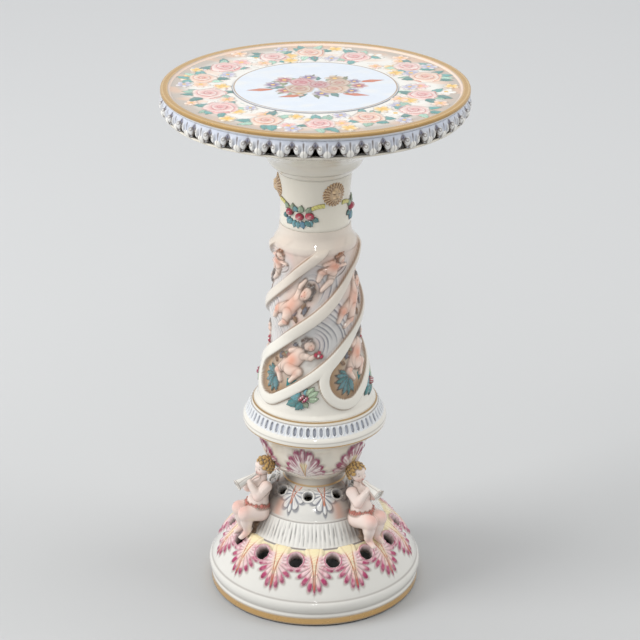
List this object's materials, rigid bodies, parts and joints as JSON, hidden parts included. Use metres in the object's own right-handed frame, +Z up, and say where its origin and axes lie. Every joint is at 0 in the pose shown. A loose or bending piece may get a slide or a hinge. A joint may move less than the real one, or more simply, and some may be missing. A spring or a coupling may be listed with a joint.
{
  "type": "porcelain pedestal",
  "caption": "Painted porcelain pedestal: round top with a leaf gallery, spiral-panelled column, leafed bowl and a pierced domed foot with seated cherubs.",
  "frame": {"origin": "centre of the underside, on the floor", "axes": "+Z up along the pedestal's axis, -Y towards the front of the picture, +X to the right of it"},
  "size_m": [0.425, 0.425, 0.75],
  "materials": {
    "glaze": "glossy cream glaze",
    "leaf_glaze": "glossy white and lavender glaze",
    "mask_glaze": "glossy amber glaze",
    "bloom_glaze": "glossy painted glaze, reds and greens",
    "skin_glaze": "glossy painted glaze, flesh tint",
    "steel": "plain steel",
    "brass": "plain brass",
    "rubber": "matt black",
    "felt": "dark felt"
  },
  "bodies": {
    "root": {"felt_ring": "felt", "pierced_base": "glaze", "foot_cap": "glaze", "spool_collar": "glaze", "leafed_bowl": "glaze", "oval_collar": "glaze", "spiral_column": "glaze", "neck": "glaze", "saucer": "glaze", "leaf_gallery": "leaf_glaze", "table_top": "glaze", "leaf_spray_1": "leaf_glaze", "leaf_spray_2": "leaf_glaze", "leaf_spray_3": "leaf_glaze", "leaf_spray_4": "leaf_glaze", "lion_mask_1": "mask_glaze", "lion_mask_2": "mask_glaze", "lion_mask_3": "mask_glaze", "garland_1": "bloom_glaze", "garland_2": "bloom_glaze", "garland_3": "bloom_glaze", "cherub_1": "skin_glaze", "cherub_2": "skin_glaze", "cherub_3": "skin_glaze", "horn_1": "leaf_glaze", "horn_2": "leaf_glaze", "horn_3": "leaf_glaze", "tie_rod": "steel", "tie_nut": "steel", "steel_washer": "steel", "rubber_washer": "rubber", "threaded_flange": "brass"}
  },
  "joints": []
}
